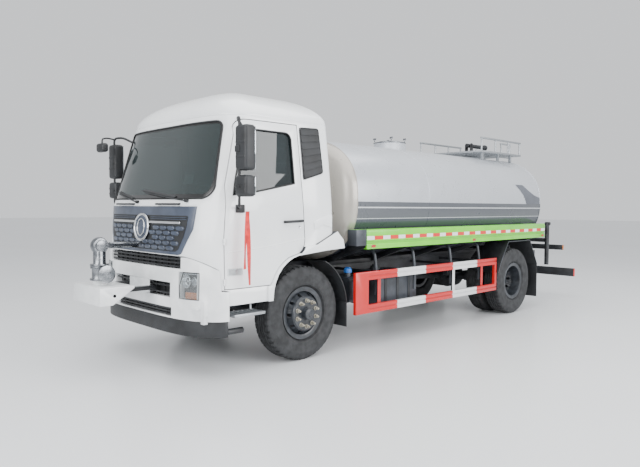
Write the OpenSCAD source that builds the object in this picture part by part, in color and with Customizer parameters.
// Water-sprinkler tank truck: cab-over chassis, round-sided water tank, front spray deck and rear cannon.
// Front faces -Y, the driver's side is +X, Z is up, Z = 0 is the ground, and the origin is the middle of
// the vehicle's footprint. Lengths are in millimetres.

/* [Overall] */
// Distance between the front and the rear axle
wheelbase = 4500; // [4000:50:5400]
// From the front axle to the front face of the spray deck
front_overhang = 1990; // [1950:10:2300]
// From the rear axle to the back of the rear bumper
rear_overhang = 2420; // [2200:10:2800]
// Width over the side aprons
body_w = 2500; // [2450:10:2900]

/* [Wheels] */
// Outer diameter of a tyre
tyre_d = 1052; // [880:4:1060]
// Width of a tyre
tyre_w = 278; // [230:2:290]
// Seat diameter of the rim
rim_d = 508; // [450:2:540]
// Track between the front tyre centres
front_track = 1922; // [1880:2:2000]
// Track between the middles of the twin tyres
rear_track = 1860; // [1840:2:1900]
// Distance between the two tyres of a twin wheel
twin_pitch = 330; // [310:2:350]
// Pitch circle of the wheel studs
stud_pcd = 285.75; // [260:0.25:300]
// Number of wheel studs
stud_count = 10; // [6:1:12]

/* [Cab] */
// Width of the cab at its waist
cab_w = 2340; // [2200:10:2400]
// Height of the top of the roof above the ground
cab_top = 3000; // [2900:10:3200]
// Height of the roof seam above the ground
roof_seam_z = 2625; // [2550:5:2700]
// Thickness of the cab walls and doors
cab_wall = 45; // [30:1:60]
// Gap around a closed door
door_gap = 9; // [5:1:12]
// Thickness of the glass
glass_t = 6; // [4:1:8]

/* [Tank] */
// Width of the tank
tank_w = 2300; // [2000:10:2340]
// Height of the tank
tank_h = 1560; // [1300:10:1700]
// Height of the tank's middle above the ground
tank_mid_z = 1800; // [1790:5:1960]
// Depth of a dished head
head_depth = 250; // [150:10:280]
// Inner diameter of the manhole collar
manhole_d = 460; // [400:10:560]

/* [Chassis] */
// Width over the frame rails
frame_w = 860; // [800:5:900]
// Height of a frame rail
rail_h = 250; // [200:5:260]
// Flange width of a frame rail
rail_flange = 80; // [60:2:90]
// Height of the top of the frame above the ground
frame_top = 940; // [930:5:960]

/* [Hidden] */

// Where things are along the vehicle
front_axle_y = (front_overhang - rear_overhang - wheelbase) / 2;
rear_axle_y = front_axle_y + wheelbase;
hub_z = tyre_d / 2;
front_x = front_track / 2;
rear_x = rear_track / 2;
half_w = body_w / 2;
guard_x = half_w - 30;

// Colours
WHITE = "white";
BLACK = "#1c1d20";
DARK = "#2c2e33";
SILVER = "#b9bcc2";
GREEN = "#5fce2c";
RED = "#e0251f";
STEEL = "#a9adb2";

$fn = 48;

module at_front() translate([0, front_axle_y, 0]) children();
module at_rear() translate([0, rear_axle_y, 0]) children();
module both_sides() { children(); mirror([1, 0, 0]) children(); }
module block(x0, x1, y0, y1, z0, z1) translate([x0, y0, z0]) cube([x1 - x0, y1 - y0, z1 - z0]);
// A plate whose outline lies in the Y-Z plane, from x0 to x1
module side_plate(x0, x1, outline) translate([x0, 0, 0]) rotate([90, 0, 90])
    linear_extrude(x1 - x0) polygon(outline);
// A plate whose outline lies in the X-Z plane, from y0 to y1
module cross_plate(y0, y1, outline) translate([0, y1, 0]) rotate([90, 0, 0])
    linear_extrude(y1 - y0) polygon(outline);
module bar_x(x0, x1, y, z, r) translate([x0, y, z]) rotate([0, 90, 0]) cylinder(h = x1 - x0, r = r);
module bar_y(x, y0, y1, z, r) translate([x, y0, z]) rotate([-90, 0, 0]) cylinder(h = y1 - y0, r = r);
module bar_z(x, y, z0, z1, r) translate([x, y, z0]) cylinder(h = z1 - z0, r = r);
function arc_points(c, r, a0, a1, steps) =
    [for (i = [0:steps]) let(a = a0 + (a1 - a0) * i / steps) c + r * [cos(a), sin(a)]];

// ---------------------------------------------------------------- cab surface
// The cab's plan at a height is a ring: a bowed front, straight sides and a rounded back.
sill_z = 735;
cab_low_z = 1085;
cab_half = cab_w / 2;
cab_lean = 68;
waist_z = 1720;
lean_power = 1.25;
function cab_side_x(z) = cab_half - cab_lean * pow(max(0, (z - waist_z) / (roof_seam_z - waist_z)),
    lean_power);
function cab_front_y(z) = lookup(z, [[sill_z, -1385], [1220, -1375], [waist_z, -1330], [roof_seam_z, -1050]]);
function cab_bow_y(z) = lookup(z, [[sill_z, -1010], [waist_z, -960], [roof_seam_z, -740]]);
function cab_back_y(z) = lookup(z, [[sill_z, 410], [1500, 400], [roof_seam_z, 350]]);
cab_back_r = 90;
front_steps = 32;
back_steps = 5;
function cab_ring(z, inset) =
    let(w = cab_side_x(z) - inset, bow = cab_bow_y(z), depth = bow - cab_front_y(z) - inset,
        back = cab_back_y(z) - inset)
    concat(
        [for (i = [0:front_steps]) let(v = -90 + 180 * i / front_steps)
            [w * sin(v), bow - depth * sqrt(1 - pow(sin(v), 4)), z]],
        [for (p = arc_points([w - cab_back_r, back - cab_back_r], cab_back_r, 0, 90, back_steps))
            [p[0], p[1], z]],
        [for (p = arc_points([-w + cab_back_r, back - cab_back_r], cab_back_r, 90, 180, back_steps))
            [p[0], p[1], z]]);
ring_n = front_steps + 1 + 2 * (back_steps + 1);
glass_levels = [waist_z, 1880, 2050, 2230, 2430, roof_seam_z];
cab_levels = concat([sill_z, 1220, 1480], glass_levels);
// A closed wall between two insets of the cab surface
module cab_wall_between(out, in, levels = cab_levels) {
    n = len(levels);
    pts = concat([for (z = levels) each cab_ring(z, out)], [for (z = levels) each cab_ring(z, in)]);
    o = n * ring_n;
    walls = [for (k = [0:n - 2], i = [0:ring_n - 1])
        let(j = (i + 1) % ring_n, a = k * ring_n + i, b = k * ring_n + j, c = b + ring_n, d = a + ring_n)
        each [[a, d, c], [a, c, b], [o + a, o + b, o + c], [o + a, o + c, o + d]]];
    rims = [for (i = [0:ring_n - 1]) let(j = (i + 1) % ring_n, t = (n - 1) * ring_n)
        each [[i, j, o + j], [i, o + j, o + i], [t + i, o + t + j, t + j], [t + i, o + t + i, o + t + j]]];
    polyhedron(points = pts, faces = concat(walls, rims), convexity = 10);
}

// Outlines on the cab's side, in Y-Z about the front axle
door_outline = concat([[-1105, 900], [-1105, 1400], [-1070, 1910], [-935, 2420]],
    arc_points([-830, 2470], 105, 170, 95, 4), [[-150, 2580], [-122, 1985], [-80, 1370]],
    arc_points([-230, 1340], 150, 0, -60, 3), arc_points([-130, 780], 430, 115, 160, 4), [[-560, 900]]);
window_outline = concat([[-1015, 1815], [-720, 1855], [-215, 1950], [-235, 2400]],
    arc_points([-315, 2410], 80, 0, 90, 4), [[-790, 2490], [-865, 2420], [-990, 1950]]);
arch_outline = concat([[-545, sill_z - 200], [-545, 760]], arc_points([-120, 770], 420, 170, 100, 6),
    [[0, 1200], [250, 1222], [700, 1240], [700, sill_z - 200]]);
// Outlines on the cab's front, in X-Z
shield_low = 1785;
shield_high = 2570;
shield_outline = concat(arc_points([-860, shield_high - 90], 90, 90, 170, 4), [[-1030, 1900]],
    arc_points([-915, 1895], 115, 190, 265, 4), [[-400, shield_low - 5], [400, shield_low - 5]],
    arc_points([915, 1895], 115, 275, 350, 4), [[1030, 1900]], arc_points([860, shield_high - 90], 90,
        10, 90, 4));
panel_outline = concat([[-900, 1705], [-870, 1480]], arc_points([-690, 1290], 70, 190, 270, 4),
    arc_points([690, 1290], 70, 270, 350, 4), [[870, 1480], [900, 1705]]);

door_deep_x = 985;
module door_prism(side, grow) {
    mirror([side < 0 ? 1 : 0, 0, 0]) side_plate(door_deep_x - grow, 1300, offset_outline(door_outline, grow));
}
// Grows a closed outline away from its middle, by a share small enough for a door gap
function outline_mid(o) = [for (k = [0, 1]) (min([for (p = o) p[k]]) + max([for (p = o) p[k]])) / 2];
function outline_half(o) = [for (k = [0, 1]) (max([for (p = o) p[k]]) - min([for (p = o) p[k]])) / 2];
function offset_outline(o, d) = let(m = outline_mid(o), h = outline_half(o))
    [for (p = o) m + [(p[0] - m[0]) * (1 + d / h[0]), (p[1] - m[1]) * (1 + d / h[1])]];

// Door hinges, just outside the skin ahead of the door: two knuckles and a pin on the cab, one on the door
hinge_x = 1146;
hinge_y = -1112;
hinge_pin_r = 6;
hinge_r = 11;
hinge_h = 64;
hinge_end = 18;
hinge_zs = [935, 1330];
module hinge_pockets() for (z = hinge_zs) bar_z(hinge_x, hinge_y, z - 2, z + hinge_h + 2, hinge_r + 4);
module hinge_on_cab() for (z = hinge_zs) {
    for (end = [z, z + hinge_h - hinge_end]) {
        bar_z(hinge_x, hinge_y, end, end + hinge_end, hinge_r);
        block(hinge_x - 34, hinge_x, hinge_y - hinge_r + 1, hinge_y - 1, end, end + hinge_end);
    }
    bar_z(hinge_x, hinge_y, z + 1, z + hinge_h - 1, hinge_pin_r);
}

floor_z = 1245;
floor_t = 35;
well_x = 760;
module cab_shell() at_front() color(WHITE) {
    difference() {
        cab_wall_between(0, cab_wall);
        door_prism(1, door_gap);
        door_prism(-1, door_gap);
        side_plate(-1300, 1300, arch_outline);
        // the bumper takes the place of the wall below the front panel and the front corners
        side_plate(-1300, 1300, [[-1600, sill_z - 200], [-1600, bumper_high + 10], [-1335, bumper_high + 10],
            [-1155, cab_low_z + 5], [-1140, 890], [-1070, 880], [-1070, sill_z - 200]]);
        cross_plate(-1600, -700, shield_outline);
        cross_plate(-1600, -1000, panel_outline);
        both_sides() hinge_pockets();
    }
    both_sides() hinge_on_cab();
    // floor, step wells and the arch flares
    difference() {
        block(-cab_half + cab_wall + 5, cab_half - cab_wall - 5, -1150, 350, floor_z, floor_z + floor_t);
        both_sides() block(well_x, cab_half, -1160, -575, floor_z - 5, floor_z + floor_t + 5);
    }
    both_sides() {
        block(well_x - 20, well_x, -1100, -560, 894, floor_z + floor_t);
        block(well_x - 20, cab_half - cab_wall - 22, -1055, -600, 860, 895);
        difference() {
            side_plate(cab_half - 35, cab_half + 35, concat([[-600, sill_z], [-600, 900]],
                arc_points([-120, 770], 500, 165, 95, 6), [[80, 1290], [400, 1430], [500, 1330], [520, 1235]],
                [[250, 1222], [0, 1200]], arc_points([-120, 770], 420, 100, 170, 6), [[-545, 735]]));
            door_prism(1, door_gap);
        }
    }
}

roof_mid_y = -230;
roof_power = 1.9;
roof_steps = 12;
roof_wall = 30;
function roof_share(t) = pow(max(0, 1 - pow(t, roof_power)), 1 / roof_power);
function roof_ring(z, t, inset) = let(s = roof_share(t))
    [for (p = cab_ring(roof_seam_z, inset)) [p[0] * s, roof_mid_y + (p[1] - roof_mid_y) * s, z]];
module cab_roof() at_front() color(WHITE) {
    rise = cab_top - roof_seam_z - 0.5;
    ts = [for (i = [0:roof_steps]) 0.985 * sin(90 * i / roof_steps)];
    seat = roof_seam_z + 0.5;
    n = len(ts);
    pts = concat([for (t = ts) each roof_ring(seat + rise * t / 0.985, t, 0)],
        [for (t = ts) each roof_ring(seat + (rise - roof_wall) * t / 0.985, t, roof_wall)]);
    o = n * ring_n;
    t0 = (n - 1) * ring_n;
    walls = [for (k = [0:n - 2], i = [0:ring_n - 1])
        let(j = (i + 1) % ring_n, a = k * ring_n + i, b = k * ring_n + j, c = b + ring_n, d = a + ring_n)
        each [[a, d, c], [a, c, b], [o + a, o + b, o + c], [o + a, o + c, o + d]]];
    rim = [for (i = [0:ring_n - 1]) let(j = (i + 1) % ring_n) each [[i, j, o + j], [i, o + j, o + i]]];
    caps = [[for (i = [ring_n - 1:-1:0]) t0 + i], [for (i = [0:ring_n - 1]) o + t0 + i]];
    polyhedron(points = pts, faces = concat(walls, rim, caps), convexity = 4);
    translate([0, roof_mid_y, cab_top - 2]) cylinder(h = 55, r = 45);
}

glass_gap = 0.3;
module windshield() at_front() color("#4d6b80")
    intersection() {
        cab_wall_between(8, 8 + glass_t, glass_levels);
        cross_plate(-1600, -700, offset_outline(shield_outline, -glass_gap));
    }

panel_t = 50;
module front_panel() at_front() color("#3c4658") {
    intersection() {
        cab_wall_between(-12, panel_t, [1100, 1220, waist_z, 2050]);
        cross_plate(-1600, -1000, offset_outline(panel_outline, -glass_gap));
    }
}

module door(side) {
    difference() {
        intersection() {
            cab_wall_between(0, cab_wall);
            door_prism(side, 0);
        }
        mirror([side < 0 ? 1 : 0, 0, 0]) {
            side_plate(door_deep_x - 5, 1300, window_outline);
            hinge_pockets();
        }
    }
    // the middle knuckle of each hinge, on a leaf
    mirror([side < 0 ? 1 : 0, 0, 0]) for (z = hinge_zs) difference() {
        union() {
            bar_z(hinge_x, hinge_y, z + hinge_end + 0.3, z + hinge_h - hinge_end - 0.3, hinge_r);
            block(hinge_x - 22, hinge_x + 2, hinge_y + hinge_pin_r + 1, hinge_y + 20,
                z + hinge_end + 0.3, z + hinge_h - hinge_end - 0.3);
        }
        bar_z(hinge_x, hinge_y, z, z + hinge_h, hinge_pin_r + 0.3);
    }
}
module door_glass(side) intersection() {
    cab_wall_between(16, 16 + glass_t, glass_levels);
    mirror([side < 0 ? 1 : 0, 0, 0]) side_plate(door_deep_x - 5, 1300, offset_outline(window_outline, -0.3));
}
module door_left() at_front() color(WHITE) door(1);
module door_right() at_front() color(WHITE) door(-1);
module door_glass_left() at_front() color("#3c4a52") door_glass(1);
module door_glass_right() at_front() color("#3c4a52") door_glass(-1);

// A mirror: an upright tube, two arms to the door and two housings
mirror_tube_x = 1315;
mirror_y = -1060;
mirror_out_x = 1450;
module mirror_set() {
    bar_z(mirror_tube_x, mirror_y, 1690, 2570, 14);
    // foot: height, front and back of its pad
    for (foot = [[1680, -1000, -900], [2455, -860, -790]]) {
        x = cab_side_x(foot[0] - 35);
        block(x + 0.3, x + 22, foot[1], foot[2], foot[0] - 35, foot[0] + 35);
        side_arm(foot[0] + 20, x + 12, foot[1] + 30);
    }
    block(mirror_tube_x - 55, mirror_out_x, mirror_y - 20, mirror_y + 50, 2050, 2480);
    block(mirror_tube_x - 55, mirror_out_x, mirror_y - 20, mirror_y + 50, 1800, 2005);
}
module side_arm(z, x, y) {
    d = [mirror_tube_x - x, mirror_y - y];
    translate([x, y, z]) rotate([0, 90, atan2(d[1], d[0])]) cylinder(h = norm(d), r = 12);
}
module mirror_left() at_front() color(BLACK) mirror_set();
module mirror_right() at_front() color(BLACK) {
    mirror([1, 0, 0]) mirror_set();
    // front-view mirror on its own arm
    translate([-mirror_tube_x, mirror_y, 2500]) rotate([90, 0, 20]) cylinder(h = 200, r = 10);
    translate([-mirror_tube_x + 65, mirror_y - 185, 2420]) rotate([18, 0, 20]) cube([200, 60, 120],
        center = true);
    translate([-mirror_tube_x + 65, mirror_y - 182, 2440]) cylinder(h = 68, r = 9);
}

// ---------------------------------------------------------------- inside the cab
dash_half = 960;
module dashboard() at_front() color(DARK) {
    front = [[-900, 1740], [-770, 1650], [-790, 1570], [-900, 1530], [-930, 1450]];
    side_plate(-dash_half, dash_half, concat([[-1165, 1450], [-1165, 1690], [-1120, 1750]], front));
    side_plate(-dash_half - 100, dash_half + 100, concat([[-1080, 1450], [-1080, 1745]], front));
    // steering column and wheel
    translate([480, -880, 1620]) rotate([-30, 0, 0]) {
        cylinder(h = 260, r = 30);
        translate([0, 0, 245]) rotate_extrude() translate([225, 0]) circle(r = 15);
        for (a = [90, 210, 330]) rotate([0, 0, a]) translate([0, -18, 238]) cube([220, 36, 14]);
    }
    block(-dash_half, dash_half, -1130, -1100, floor_z + floor_t + 0.3, 1452);
}
seat_w = 500;
module seat() {
    // cushion, back and head rest as plain closed solids on a base
    block(-seat_w / 2, seat_w / 2, -560, -60, 1530, 1655);
    translate([0, -75, 1610]) rotate([-12, 0, 0]) block(-seat_w / 2, seat_w / 2, 0, 110, 0, 600);
    translate([0, -75, 1610]) rotate([-12, 0, 0]) block(-130, 130, 10, 100, 640, 820);
    translate([0, -75, 1610]) rotate([-12, 0, 0]) both_sides() bar_z(70, 55, 590, 650, 8);
    block(-180, 180, -480, -120, floor_z + floor_t + 0.3, 1531);
}
module seats() at_front() color("#4a4d52") for (x = [-480, 480]) translate([x, 0, 0]) seat();

// ---------------------------------------------------------------- front end
bumper_low = 585;
bumper_high = 1200;
module front_bumper() at_front() color(WHITE) {
    difference() {
        intersection() {
            cab_wall_between(-22, 60, [bumper_low, 900, bumper_high]);
            // the top falls away along the lower corner of the cab
            side_plate(-1300, 1300, [[-1600, bumper_low], [-1600, bumper_high], [-1342, bumper_high],
                [-1165, cab_low_z - 5], [-1150, 880], [-1080, 870], [-1080, bumper_low]]);
        }
        block(-760, 760, -1600, -1300, 1085, bumper_high + 10);
        both_sides() block(730, 960, -1600, -1200, 790, 1060);
        both_sides() block(150, 600, -1600, -1300, 790, 940);
        block(-500, 620, -1600, -1300, 600, 690);
    }
    // beam behind the skin and its brackets to the frame
    block(-1060, 1060, -1290, rail_front - 0.3, 640, 780);
    both_sides() block(640, 700, -1330, -1285, 640, 780);
    block(-560, 1000, -1335, -1285, 700, 720);
    block(-1000, -560, -1335, -1285, 700, 720);
    // black valance
    color(BLACK) intersection() {
        cab_wall_between(-10, 60, [420, 500, bumper_low]);
        block(-1300, 1300, -1600, -1085, 425, bumper_low - 0.3);
    }
    both_sides() block(1000, 1050, -1290, -1240, 560, 650);
}

// The white box on the bumper that carries the spray monitor
deck_half = 320;
deck_top = 900;
deck_front = -front_overhang;
deck_back = deck_front + 360;
module spray_deck() at_front() {
    color(WHITE) difference() {
        side_plate(-deck_half, deck_half, [[deck_front, 725], [deck_front, deck_top], [deck_back, deck_top],
            [deck_back, 880], [deck_front + 130, 725]]);
        side_plate(-deck_half + 5, deck_half - 5, [[deck_front + 5, 730], [deck_front + 5, deck_top - 6],
            [deck_back - 6, deck_top - 6], [deck_back - 6, 884], [deck_front + 128, 730]]);
        bar_x(-deck_half - 10, deck_half + 10, deck_front + 150, 815, 17);
    }
    color(BLACK) both_sides() {
        block(230, 300, deck_back - 60, -1240, 840, 880);
        block(230, 300, -1290, -1240, 780.3, 841);
    }
    color(WHITE) bar_z(0, monitor_y, deck_top - 1, monitor_base_z, 70);
    color(STEEL) {
        bar_z(0, monitor_y, monitor_base_z - 1, monitor_base_z + 18, 95);
        bar_z(0, monitor_y, monitor_base_z + 17, monitor_base_z + 120, 75);
        bar_x(0, 165, monitor_y, monitor_base_z + 70, 45);
        bar_x(150, 178, monitor_y, monitor_base_z + 70, 88);
        bar_z(0, monitor_y, monitor_base_z + 119, monitor_turn_z - 0.3, 90);
    }
}
monitor_y = -1850;
monitor_base_z = 950;
monitor_turn_z = monitor_base_z + 140;
monitor_pivot_z = 1300;
module monitor_head() at_front() color(STEEL) {
    bar_z(0, monitor_y, monitor_turn_z, monitor_turn_z + 24, 92);
    bar_z(0, monitor_y, monitor_turn_z + 23, monitor_pivot_z - 60, 62);
    translate([0, monitor_y, monitor_pivot_z]) difference() {
        sphere(r = 88);
        rotate([0, 90, 0]) cylinder(h = 300, r = 30.4, center = true);
        both_sides() translate([45, -150, -150]) cube([100, 300, 300]);
    }
}
// The barrel turns on a cross pipe through the head
module monitor_barrel() at_front() color(STEEL) translate([0, monitor_y, monitor_pivot_z]) {
    bar_x(-62, 62, 0, 0, 30);
    both_sides() bar_x(51, 62, 0, 0, 55);
    both_sides() block(51, 62, 0, 120, -22, 22);
    both_sides() block(30, 62, 108, 125, -22, 22);
    difference() {
        bar_y(0, 108, 420, 0, 33);
        bar_y(0, 107, 421, 0, 26);
    }
    bar_y(0, 108, 120, 0, 33);
}

module cab_steps() at_front() color("#80858c") both_sides() {
    difference() {
        block(960, 1190, -1020, -640, 612, 640);
        for (i = [0:5]) translate([0, -990 + 60 * i, 0]) block(1000, 1150, 0, 32, 600, 650);
    }
    for (y = [-1000, -680]) block(970, 985, y, y + 20, 640, 860);
}

// ---------------------------------------------------------------- chassis
rail_x = frame_w / 2;
rail_front = -1240;
cab_post = 50;
rail_back = rear_overhang - 520;
rail_t = 8;
module channel(y0, y1) {
    difference() {
        block(rail_x - rail_flange, rail_x, y0, y1, frame_top - rail_h, frame_top);
        block(rail_x - rail_flange - 1, rail_x - rail_t, y0 - 1, y1 + 1, frame_top - rail_h + rail_t,
            frame_top - rail_t);
    }
}
module chassis_frame() color(BLACK) {
    y0 = front_axle_y + rail_front;
    y1 = rear_axle_y + rail_back;
    both_sides() channel(y0, y1);
    // posts under the cab's floor
    for (y = [front_axle_y - 1120, front_axle_y + 280]) both_sides()
        block(rail_x - 65, rail_x - 65 + cab_post, y, y + cab_post, frame_top - 1, floor_z - 0.3);
    inner = rail_x - rail_t;
    for (y = [y0 + 60, front_axle_y + 1000, front_axle_y + 1900, front_axle_y + wheelbase * 0.55,
              rear_axle_y - 780, rear_axle_y + 780, y1 - 90])
        block(-inner, inner, y, y + 60, frame_top - rail_h + 60, frame_top - 60);
}

beam_low = 400;
pin_x = 850;
pin_r = 25;
module front_axle_beam() at_front() color(DARK) {
    difference() {
        union() {
            cross_plate(-45, 45, [[-pin_x + 20, hub_z - 50], [-pin_x + 20, hub_z + 50], [-620, hub_z + 40],
                [-500, beam_low + 110], [500, beam_low + 110], [620, hub_z + 40], [pin_x - 20, hub_z + 50],
                [pin_x - 20, hub_z - 50], [620, hub_z - 60], [500, beam_low], [-500, beam_low], [-620,
                    hub_z - 60]]);
            both_sides() bar_z(pin_x, 0, hub_z - 55, hub_z + 55, 45);
        }
        both_sides() bar_z(pin_x, 0, hub_z - 60, hub_z + 60, pin_r + 0.4);
    }
    both_sides() block(spring_x - 45, spring_x + 45, -80, 80, beam_low + 109, spring_seat_front);
}
spring_x = rail_x - rail_flange / 2;
spring_seat_front = beam_low + 125;
spring_seat_rear = hub_z + 75;
leaf_t = 12;
module leaf_pack(seat, leaves, half_l) {
    // curved main leaf between its two hangers, shorter leaves below
    eye_z = frame_top - rail_h - 60;
    sag = eye_z - seat;
    for (k = [0:leaves - 1]) {
        half = half_l * (1 - 0.13 * k);
        z0 = seat + leaf_t * (leaves - 1 - k);
        lift = max(0, (eye_z - seat - leaf_t * leaves)) * pow(half / half_l, 2);
        side_plate(spring_x - 38, spring_x + 38, concat(
            [for (i = [-6:6]) [half * i / 6, z0 + lift * pow(i / 6, 2)]],
            [for (i = [6:-1:-6]) [half * i / 6, z0 + leaf_t + 0.01 + lift * pow(i / 6, 2)]]));
    }
    for (s = [-1, 1]) {
        bar_x(spring_x - 42, spring_x + 42, s * half_l, eye_z - leaf_t * 0.4, 26);
        block(spring_x - 38, spring_x + 38, s * half_l - 20, s * half_l + 20, eye_z,
            frame_top - rail_h - 0.3);
    }
}
module leaf_springs() color(DARK) both_sides() {
    at_front() leaf_pack(spring_seat_front + 0.3, 4, 760);
    at_rear() leaf_pack(spring_seat_rear + 0.3, 3, 700);
}

module rear_axle() at_rear() color(DARK) {
    bar_x(-rear_x + 60, rear_x - 60, 0, hub_z, 62);
    bar_y(0, -110, 120, hub_z, 200);
    bar_y(0, 119, 165, hub_z, 150);
    bar_y(0, -300, -109, hub_z + 20, 80);
    both_sides() {
        block(spring_x - 45, spring_x + 45, -90, 90, hub_z - 60, spring_seat_rear);
        bar_x(rear_x - 215, rear_x - 29.5, 0, hub_z, 150);
    }
}

module engine_block() at_front() color("#5d6166") {
    block(-330, 330, -640, 430, 590, 1180);
    block(-300, 300, -820, -640, 640, 1120);
    // gearbox
    block(-200, 200, 430, 900, 620, 1000);
    // mounts to the rails
    both_sides() block(329, rail_x - rail_t - 0.3, -100, 0, frame_top - rail_h + 40, frame_top - 60);
}
module propeller_shaft() color("#6b6f75") {
    y0 = front_axle_y + 900.3;
    y1 = rear_axle_y - 300.3;
    z0 = frame_top - rail_h + 5;
    z1 = hub_z + 20;
    len = norm([y1 - y0, z1 - z0]);
    translate([0, y0, z0]) rotate([-90 + atan2(z1 - z0, y1 - y0), 0, 0]) {
        translate([0, 0, 12]) cylinder(h = len - 24, r = 50);
        translate([0, 0, 3.6]) cylinder(h = 20, r = 72);
        translate([0, 0, len - 23.6]) cylinder(h = 20, r = 72);
    }
}

// Front and rear mudguards, with their flaps
module mudguards() color(DARK) {
    at_front() both_sides() {
        difference() {
            translate([815, 0, hub_z]) rotate([90, 0, 90]) linear_extrude(335) polygon(concat(
                arc_points([0, 0], hub_z + 104, 5, 65, 10), arc_points([0, 0], hub_z + 92, 65, 5, 10)));
            block(700, 1200, -600, 250, 0, 2000);
        }
        block(830, 1150, 610, 622, 300, 590);
        block(rail_x + 0.3, 830, 500, 540, 870, 910);
    }
    at_rear() both_sides() {
        flap = 8;
        outer = [[-540, 700], [-460, 860], [-240, 1172], [480, 1172], [745, 760]];
        inner_edge = [[737, 757], [475, 1164], [-236, 1164], [-453, 857], [-533, 697]];
        side_plate(840, half_w - 3, concat(outer, inner_edge));
        block(600, half_w - 6, 744, 744 + flap, 200, 762);
        // brackets to the frame, ahead of the tyres and behind them
        block(rail_x + 0.3, 860, -535, -510, 730, 770);
        block(rail_x + 0.3, 620, 744, 764, 700, 762);
    }
}

// Fuel tank and urea tank on the driver's side
module fuel_tank() at_front() color("#3a3d42") {
    x0 = 560;
    x1 = 1090;
    difference() {
        union() {
            translate([x0, 1250, 450]) rounded_bar(x1 - x0, 800, 420, 70);
            translate([x0 + 60, 800, 540]) rounded_bar(x1 - x0 - 120, 310, 310, 50);
        }
    }
    for (y = [1390, 1850]) {
        block(rail_x + 0.3, x0 + 10, y, y + 50, 700, 860);
    }
    block(rail_x + 0.3, x0 + 70, 930, 980, 700, 860);
    bar_z(930, 1380, 868, 915, 48);
    bar_z(900, 900, 848, 900, 38);
}
// A bar with rounded long edges, along Y
module rounded_bar(w, l, h, r) translate([0, l, 0]) rotate([90, 0, 0]) linear_extrude(l)
    polygon(concat(arc_points([w - r, r], r, -90, 0, 4), arc_points([w - r, h - r], r, 0, 90, 4),
        arc_points([r, h - r], r, 90, 180, 4), arc_points([r, r], r, 180, 270, 4)));
module battery_box() at_front() color("#33363b") {
    block(-1080, -600, 820, 1450, 520, 860);
    block(-601, -rail_x - 0.3, 900, 950, 700, 860);
    block(-601, -rail_x - 0.3, 1300, 1350, 700, 860);
    // air tanks, under the same side
    for (x = [-700, -960]) bar_y(x, 1700, 2500, 640, 110);
    for (y = [1850, 2300]) {
        block(-1070, -rail_x - 0.3, y, y + 40, 752, 790);
    }
    for (x = [-700, -960], y = [1850, 2300]) block(x - 30, x + 30, y, y + 40, 740, 760);
}

// ---------------------------------------------------------------- tank
tank_power = 2.5;
tank_front = 800;
tank_back = 1000;
tank_sides = 64;
head_steps = 8;
function signed_pow(v, p) = sign(v) * pow(abs(v), p);
function tank_section(s = 1) = [for (i = [0:tank_sides - 1]) let(a = 360 * i / tank_sides)
    [tank_w / 2 * s * signed_pow(cos(a), 2 / tank_power), tank_h / 2 * s * signed_pow(sin(a),
        2 / tank_power)]];
function tank_top_at(x) = tank_mid_z + tank_h / 2 * pow(1 - pow(x / (tank_w / 2), tank_power),
    1 / tank_power);
function head_share(t) = pow(max(0, 1 - pow(t, 2.4)), 1 / 2.4);
tank_y0 = front_axle_y + tank_front;
tank_y1 = rear_axle_y + tank_back;
collar_y = front_axle_y + wheelbase * 0.62;
collar_h = 110;
module water_tank() color(SILVER) {
    ts = [for (i = [0:head_steps]) 0.98 * sin(90 * i / head_steps)];
    stations = concat([for (i = [head_steps:-1:0]) [tank_y0 - head_depth * ts[i], head_share(ts[i])]],
        [for (i = [0:head_steps]) [tank_y1 + head_depth * ts[i], head_share(ts[i])]]);
    n = len(stations);
    pts = [for (st = stations) each [for (p = tank_section(st[1])) [p[0], st[0], tank_mid_z + p[1]]]];
    walls = [for (k = [0:n - 2], i = [0:tank_sides - 1])
        let(j = (i + 1) % tank_sides, a = k * tank_sides + i, b = k * tank_sides + j)
        each [[a, b, b + tank_sides], [a, b + tank_sides, a + tank_sides]]];
    ends = [[for (i = [tank_sides - 1:-1:0]) i], [for (i = [0:tank_sides - 1]) (n - 1) * tank_sides + i]];
    difference() {
        polyhedron(points = pts, faces = concat(walls, ends), convexity = 2);
        bar_z(0, collar_y, tank_mid_z + tank_h / 2 - 120, tank_mid_z + tank_h / 2 + 50, manhole_d / 2);
    }
    difference() {
        bar_z(0, collar_y, tank_mid_z + tank_h / 2 - 130, tank_mid_z + tank_h / 2 + collar_h,
            manhole_d / 2 + 14);
        bar_z(0, collar_y, tank_mid_z + tank_h / 2 - 120, tank_mid_z + tank_h / 2 + collar_h + 1,
            manhole_d / 2);
    }
    // lifting loops and the hinge ears of the lid
    for (y = [tank_y0 + 260, tank_y1 - 260]) difference() {
        block(-45, 45, y, y + 16, tank_mid_z + tank_h / 2 - 8, tank_mid_z + tank_h / 2 + 52);
        bar_y(0, y - 1, y + 17, tank_mid_z + tank_h / 2 + 28, 14);
    }
    both_sides() translate([lid_ear_x, collar_y + manhole_d / 2 + lid_pin, 0]) difference() {
        block(0, 14, -26, 26, tank_mid_z + tank_h / 2 - 12, lid_z + 34);
        bar_x(-1, 15, 0, lid_z + 12, 9.3);
    }
}
lid_z = tank_mid_z + tank_h / 2 + collar_h + 0.3;
lid_ear_x = 60;
lid_pin = 56;
module manhole_lid() color(STEEL) {
    bar_z(0, collar_y, lid_z, lid_z + 12, manhole_d / 2 + 22);
    bar_z(0, collar_y, lid_z + 11, lid_z + 30, manhole_d / 2 - 60);
    translate([0, collar_y + manhole_d / 2 + lid_pin, lid_z + 12]) {
        both_sides() block(20, 54, -75, 0, -12, 10);
        bar_x(-lid_ear_x - 20, lid_ear_x + 20, 0, 0, 9);
        both_sides() bar_x(20, 54, 0, 0, 16);
    }
}

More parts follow.
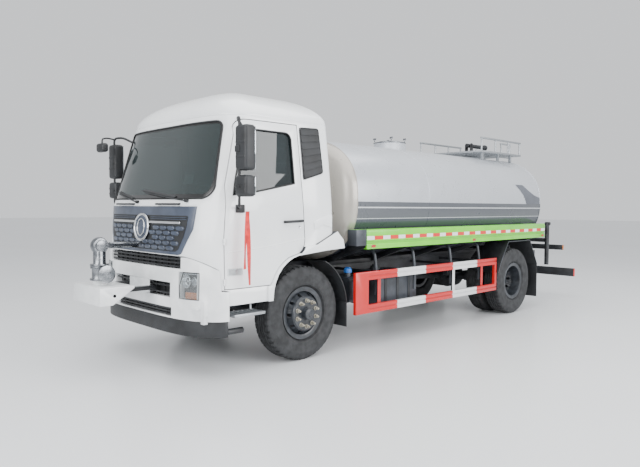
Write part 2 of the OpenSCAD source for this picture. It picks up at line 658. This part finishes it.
saddle_t = 60;
module tank_saddles() color("#3a3d42") {
    sole = frame_top + 0.3;
    first = tank_y0 + 130;
    step = (rear_axle_y - 640 - first) / 3;
    both_sides() block(rail_x - rail_flange, rail_x, tank_y0 - 60, tank_y1 + 180, sole, sole + 60);
    for (y = [first, first + step, first + 2 * step, first + 3 * step, tank_y1 - 130]) translate([0, y, 0])
        difference() {
            cross_plate(-saddle_t / 2, saddle_t / 2, [[-frame_w / 2, sole + 10], [-half_w + 22.3, 1236],
                [-half_w + 22.3, 1330], [half_w - 22.3, 1330], [half_w - 22.3, 1236], [frame_w / 2,
                    sole + 10]]);
            translate([0, saddle_t, tank_mid_z]) rotate([90, 0, 0]) linear_extrude(2 * saddle_t)
                polygon([for (p = tank_section()) p * 1.0 + [sign(p[0]), sign(p[1])] * 0.3]);
        }
}

apron_low = 1207;
apron_high = 1442;
apron_t = 10;
module side_aprons() color(GREEN) both_sides() {
    y0 = tank_y0 + 56;
    y1 = tank_y1;
    x = half_w;
    translate([0, y1, 0]) rotate([90, 0, 0]) linear_extrude(y1 - y0) polygon([
        [x - 150, apron_high], [x - 15, apron_high], [x, apron_high - 15], [x, 1300], [x - 12, 1290],
            [x - 12, 1274],
        [x, 1264], [x, apron_low], [x - 50, apron_low], [x - 50, apron_low + apron_t], [x - apron_t - 12,
            apron_low + apron_t],
        [x - apron_t - 12, apron_high - apron_t - 12], [x - 150, apron_high - apron_t - 12]]);
    color(DARK) block(x - 150, x - 4, y0 - 180, y0 + 1, 1250, apron_high);
}

guard_low = 430;
guard_high = 930;
guard_rail = 100;
module side_guards() color(RED) at_front() both_sides() {
    y0 = 700;
    y1 = wheelbase - 560;
    block(guard_x - 40, guard_x, y0, 930, guard_low, guard_high);
    for (z = [guard_low, guard_high - guard_rail]) difference() {
        block(guard_x - 40, guard_x, 929, y1, z, z + guard_rail);
        block(guard_x - 10, guard_x + 1, 940, y1 + 1, z + 42, z + 58);
    }
    block(guard_x - 40, guard_x, y1 - 55, y1, guard_low + guard_rail - 1, guard_high - guard_rail + 1);
    // bent tube hangers to the frame
    for (y = [1140, y1 - 1160, y1 - 400]) {
        block(guard_x - 62, guard_x - 39, y, y + 60, guard_low + 10, guard_high - 5);
        block(rail_x + 0.3, guard_x - 40, y + 5, y + 55, guard_high - 45, guard_high - 15);
    }
}

// ---------------------------------------------------------------- rear end
bumper_bar_low = 410;
bumper_bar_high = 560;
lamp_bar_y = 1850;
module rear_bumper() at_rear() color(RED) {
    block(-1200, 1200, rear_overhang - 60, rear_overhang, bumper_bar_low, bumper_bar_high);
    color(DARK) {
        both_sides() block(rail_x - 60, rail_x - 10, rear_overhang - 140, rear_overhang - 59,
            bumper_bar_low + 20, frame_top - 70);
        both_sides() block(rail_x - 60, rail_x - rail_t - 0.3, rail_back - 28, rear_overhang - 139,
            frame_top - 200, frame_top - 70);
        // lamp bar across the end of the frame
        block(-1200, 1200, lamp_bar_y, lamp_bar_y + 50, frame_top + 0.3, frame_top + 90);
    }
}

pipe_y = 1350;
module spray_pipes() color(DARK) {
    at_rear() {
        bar_x(-1100, 1100, pipe_y, 1136, 38);
        both_sides() {
            bar_z(1130, pipe_y, 700, 1440, 38);
            bar_x(1095, 1180, pipe_y, 1430, 30);
            bar_x(1120, 1140, pipe_y, 1200, 60);
            block(rail_x - 60, rail_x - 10, pipe_y - 30, pipe_y + 30, frame_top + 0.3, 1110);
        }
        bar_y(0, 1230, pipe_y, 1136, 60);
        // rear flat-spray nozzles
        both_sides() bar_z(600, pipe_y, 960, 1110, 30);
        both_sides() block(540, 660, pipe_y - 30, pipe_y + 45, 930, 965);
    }
    // front flush nozzles at the ends of a cross pipe under the bumper
    at_front() {
        bar_x(-1120, 1120, -1040, 470, 26);
        both_sides() {
            bar_y(1120, -1070, -880, 470, 30);
            block(frame_w / 2 - 40, frame_w / 2 - 10, -1060, -1020, 480, frame_top - rail_h - 0.3);
        }
    }
}

// ---------------------------------------------------------------- work platform and ladder
deck_z = 2640;
deck_t = 30;
deck_x = 640;
platform_y0 = -70;
platform_y1 = 1270;
rail_r = 17;
post_r = 14;
module work_platform() at_rear() color("#9aa0a5") {
    difference() {
        block(-deck_x, deck_x, platform_y0, platform_y1, deck_z, deck_z + deck_t);
        for (i = [0:8], j = [-3:3]) block(j * 170 - 60, j * 170 + 60, platform_y0 + 60 + i * 135,
            platform_y0 + 150 + i * 135, deck_z - 1, deck_z + deck_t + 1);
    }
    // legs to the tank
    both_sides() for (y = [platform_y0 + 60, 500, 930]) block(deck_x - 60, deck_x - 25, y, y + 40,
        tank_top_at(deck_x - 60) + 0.3, deck_z + 1);
    // side rails with posts
    both_sides() {
        bar_y(deck_x - 20, platform_y0, platform_y1, deck_z + 240, rail_r);
        for (y = [platform_y0 + 20, 400, 830, platform_y1 - 20]) bar_z(deck_x - 20, y,
            deck_z + deck_t - 1, deck_z + 240, post_r);
        // ladder
        bar_z(260, ladder_y, 620, deck_z + 280, rail_r + 3);
        bar_y(260, platform_y1 - 1, ladder_y, deck_z + 15, rail_r);
        bar_y(260, platform_y1 - 50, ladder_y, deck_z + 260, rail_r);
        bar_z(260, platform_y1 - 30, deck_z + deck_t - 1, deck_z + 260, post_r);
    }
    for (i = [0:6]) bar_x(-260, 260, ladder_y, 680 + 290 * i, rail_r - 3);
    both_sides() block(260, rail_x - rail_t - 0.3, ladder_y - 15, ladder_y + 15, frame_top - 160,
        frame_top - 120);
    // cannon post
    bar_z(0, cannon_y, deck_z + deck_t - 1, cannon_turn_z - 0.3, 60);
    bar_z(0, cannon_y, deck_z + deck_t - 1, deck_z + deck_t + 15, 120);
}
ladder_y = 1560;
cannon_y = 560;
cannon_turn_z = deck_z + 70;
cannon_pivot_z = deck_z + 190;
module cannon_head() at_rear() color(DARK) {
    bar_z(0, cannon_y, cannon_turn_z, cannon_turn_z + 20, 85);
    both_sides() block(44, 58, cannon_y - 45, cannon_y + 45, cannon_turn_z + 19, cannon_pivot_z - 20);
    both_sides() difference() {
        bar_x(44, 58, cannon_y, cannon_pivot_z, 45);
        bar_x(43, 59, cannon_y, cannon_pivot_z, 15.3);
    }
}
module cannon_barrel() at_rear() color(DARK) translate([0, cannon_y, cannon_pivot_z]) {
    bar_x(-62, 62, 0, 0, 15);
    bar_y(0, -80, 520, 0, 36);
    bar_y(0, 519, 560, 0, 50);
}

// ---------------------------------------------------------------- wheels
// A tyre's half section, turned about its axle
shoulder = 30;
function tyre_outline(w, r_out, r_in) = [[r_in, -w * 0.32], [r_in + 42, -w * 0.33], [r_in + 62,
    -w * 0.44], [(r_in + r_out) / 2, -w / 2],
    [r_out - shoulder * 1.6, -w * 0.47], [r_out - shoulder * 0.25, -w * 0.41], [r_out, -w * 0.33],
    [r_out, w * 0.33], [r_out - shoulder * 0.25, w * 0.41], [r_out - shoulder * 1.6, w * 0.47],
    [(r_in + r_out) / 2, w / 2], [r_in + 62, w * 0.44], [r_in + 42, w * 0.33], [r_in, w * 0.32]];
module tyre() rotate([0, 90, 0]) rotate_extrude($fn = 64) polygon(tyre_outline(tyre_w, tyre_d / 2,
    rim_d / 2 + 0.3));
// A disc wheel: barrel, flanges and a dish that reaches face_x from the rim's middle
rim_half = 100;
dish_t = 14;
rim_wall = 12;
function rim_outline(face) = let(r = rim_d / 2) [[r - rim_wall, -rim_half], [r + 38, -rim_half - 8],
    [r + 38, -rim_half],
    [r, -rim_half + 4], [r, rim_half - 4], [r + 38, rim_half], [r + 38, rim_half + 8], [r - rim_wall,
        rim_half],
    [r - rim_wall, 50 + dish_t], [stud_pcd / 2 + 40, face], [60, face], [60, face - dish_t],
    [stud_pcd / 2 + 36, face - dish_t], [r - rim_wall, 50 - dish_t]];
wheel_face = 160;
module rim() difference() {
    rotate([0, 90, 0]) rotate_extrude($fn = 64) polygon(rim_outline(wheel_face));
    for (k = [0:stud_count - 1]) rotate([360 * k / stud_count, 0, 0]) {
        translate([wheel_face - 60, 0, stud_pcd / 2]) rotate([0, 90, 0]) cylinder(h = 80, r = 13.5);
        rotate([180 / stud_count, 0, 0]) translate([0, 0, 208]) rotate([0, 90, 0]) cylinder(h = 200, r = 19);
    }
}
// Hub with the drum behind the wheel face, and studs through it
module hub(face, drum) {
    bar_x(face - dish_t - drum, face - dish_t - 0.3, 0, 0, 195);
    bar_x(face - dish_t - 1, face + 50, 0, 0, 59);
    for (k = [0:stud_count - 1]) rotate([360 * k / stud_count, 0, 0]) translate([face - dish_t - 1, 0,
        stud_pcd / 2])
        rotate([0, 90, 0]) cylinder(h = dish_t + 45, r = 11);
    for (k = [0:stud_count - 1]) rotate([360 * k / stud_count, 0, 0]) translate([face + 0.3, 0, stud_pcd / 2])
        rotate([0, 90, 0]) cylinder(h = 25, r = 18, $fn = 6);
}
module front_wheel_place(s) at_front() translate([s * front_x, 0, hub_z]) mirror([s < 0 ? 1 : 0, 0,
    0]) children();
module rear_wheel_place(s) at_rear() translate([s * rear_x, 0, hub_z]) mirror([s < 0 ? 1 : 0, 0,
    0]) children();
hub_bore = 33;
module front_hub() difference() {
    hub(wheel_face, 150);
    bar_x(-60, wheel_face + 20, 0, 0, hub_bore + 0.4);
}
module front_rim(s) front_wheel_place(s) { rim(); front_hub(); }
module twin(s) rear_wheel_place(s) {
    translate([twin_pitch / 2, 0, 0]) children();
    translate([-twin_pitch / 2, 0, 0]) children();
}
module rear_rims(s) rear_wheel_place(s) {
    translate([twin_pitch / 2, 0, 0]) mirror([1, 0, 0]) rim();
    translate([-twin_pitch / 2, 0, 0]) rim();
    face = -twin_pitch / 2 + wheel_face;
    difference() {
        union() {
            bar_x(face - dish_t - 40, face - dish_t - 0.3, 0, 0, 190);
            bar_x(face - dish_t - 1, face + 130, 0, 0, 59);
            for (k = [0:stud_count - 1]) rotate([360 * k / stud_count, 0,
                0]) translate([face - dish_t - 1, 0, stud_pcd / 2])
                rotate([0, 90, 0]) cylinder(h = 2 * dish_t + 60, r = 11);
        }
        bar_x(face - dish_t - 60, face - dish_t - 10, 0, 0, 150.5);
    }
}
module front_tyre_left() color(BLACK) front_wheel_place(1) tyre();
module front_tyre_right() color(BLACK) front_wheel_place(-1) tyre();
module front_rim_left() color(DARK) front_rim(1);
module front_rim_right() color(DARK) front_rim(-1);
module rear_tyres_left() color(BLACK) twin(1) tyre();
module rear_tyres_right() color(BLACK) twin(-1) tyre();
module rear_rims_left() color(DARK) rear_rims(1);
module rear_rims_right() color(DARK) rear_rims(-1);

// Steering knuckle: king pin, yoke and spindle
module knuckle(s) at_front() mirror([s < 0 ? 1 : 0, 0, 0]) {
    bar_z(pin_x, 0, hub_z - 108, hub_z + 108, pin_r);
    for (z = [hub_z - 105, hub_z + 60]) {
        block(pin_x - 40, pin_x + 62, -40, 40, z, z + 45);
    }
    block(pin_x + 50, pin_x + 62, -80, 80, hub_z - 105, hub_z + 105);
    bar_x(pin_x + 61, front_x + wheel_face - 5, 0, hub_z, hub_bore);
    // steering arm
    block(pin_x - 40, pin_x, -200, -39, hub_z - 105, hub_z - 75);
}
module knuckle_left() color(DARK) knuckle(1);
module knuckle_right() color(DARK) knuckle(-1);

chassis_frame();
front_axle_beam();
rear_axle();
leaf_springs();
engine_block();
propeller_shaft();
cab_shell();
cab_roof();
windshield();
front_panel();
dashboard();
seats();
door_left();
door_right();
door_glass_left();
door_glass_right();
mirror_left();
mirror_right();
front_bumper();
spray_deck();
monitor_head();
monitor_barrel();
cab_steps();
mudguards();
fuel_tank();
battery_box();
tank_saddles();
water_tank();
manhole_lid();
side_aprons();
side_guards();
rear_bumper();
spray_pipes();
work_platform();
cannon_head();
cannon_barrel();
knuckle_left();
knuckle_right();
front_tyre_left();
front_tyre_right();
front_rim_left();
front_rim_right();
rear_tyres_left();
rear_tyres_right();
rear_rims_left();
rear_rims_right();
